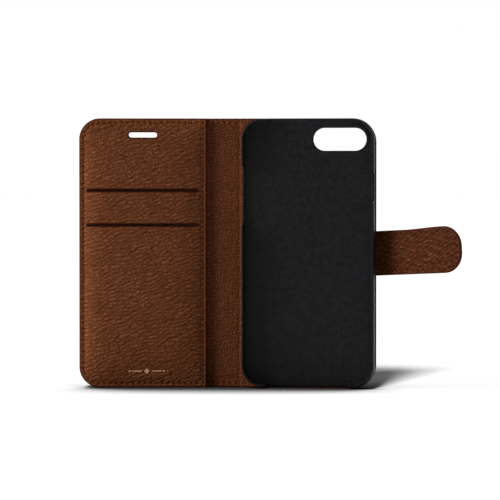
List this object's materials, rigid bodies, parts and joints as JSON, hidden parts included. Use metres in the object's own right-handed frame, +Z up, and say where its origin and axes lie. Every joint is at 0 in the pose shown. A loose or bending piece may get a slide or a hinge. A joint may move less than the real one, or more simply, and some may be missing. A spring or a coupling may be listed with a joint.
{
  "type": "phone wallet case",
  "caption": "Book-style leather phone wallet case with a moulded snap-in shell, card pockets, a note pocket and a magnetic closing strap.",
  "frame": {"origin": "middle of the back cover's bottom edge, halfway through the thickness of its outer leather", "axes": "+X along the back cover towards the strap, +Y out of the back cover's outside face, +Z up as the case stands"},
  "size_m": [0.2026, 0.0201, 0.142],
  "materials": {
    "outer_leather": "pebbled grain, semi-matt, dark painted edges",
    "panel_leather": "wrinkled drawn grain, semi-matt",
    "lining_leather": "fine pebbled grain, matt",
    "board": "grey-brown fibre board",
    "pocket_cloth": "thin woven cloth",
    "adhesive": "clear film",
    "shell_plastic": "black, fine moulded texture, satin rim",
    "steel": "zinc-plated sheet",
    "magnet": "nickel plated",
    "foil": "rose gold hot-stamped foil",
    "thread": "waxed polyester thread"
  },
  "bodies": {
    "back_cover": {"back_outer_leather": "outer_leather", "back_board": "board", "back_lining": "lining_leather", "shell_adhesive": "adhesive", "phone_shell": "shell_plastic", "strap_anchor": "outer_leather", "back_stitching": "thread"},
    "spine": {"spine_outer_leather": "outer_leather", "spine_stiffener": "board", "spine_lining": "lining_leather", "spine_stitching": "thread"},
    "front_cover": {"front_outer_leather": "outer_leather", "front_board": "board", "closure_plate": "steel", "front_lining": "lining_leather", "upper_pocket_lining": "pocket_cloth", "lower_pocket_lining": "pocket_cloth", "card_panel": "panel_leather", "front_stitching": "thread", "panel_edge_stitching": "thread", "foil_mark": "foil"},
    "strap_root": {"strap_root_outer": "outer_leather", "strap_root_lining": "lining_leather", "strap_root_stitching": "thread"},
    "strap_tip": {"strap_tip_outer": "outer_leather", "strap_tip_lining": "lining_leather", "strap_magnet": "magnet", "strap_tip_stitching": "thread"}
  },
  "joints": [
    {"name": "spine_fold", "type": "hinge", "parent": "back_cover", "child": "spine", "pos_m": [-0.037, 0, 0.071], "axis": [0, 0, 1], "range_deg": [-95, 85]},
    {"name": "cover_fold", "type": "hinge", "parent": "spine", "child": "front_cover", "pos_m": [-0.05264, -0.00137, 0.071], "axis": [0, 0, 1], "range_deg": [-95, 85]},
    {"name": "strap_root_bend", "type": "hinge", "parent": "back_cover", "child": "strap_root", "pos_m": [0.03736, -0.0006, 0.071], "axis": [0.0523, 0, -0.9986], "range_deg": [-110, 68]},
    {"name": "strap_tip_bend", "type": "hinge", "parent": "strap_root", "child": "strap_tip", "pos_m": [0.05347, -0.00712, 0.07184], "axis": [0.0523, 0, -0.9986], "range_deg": [-30, 90]}
  ]
}
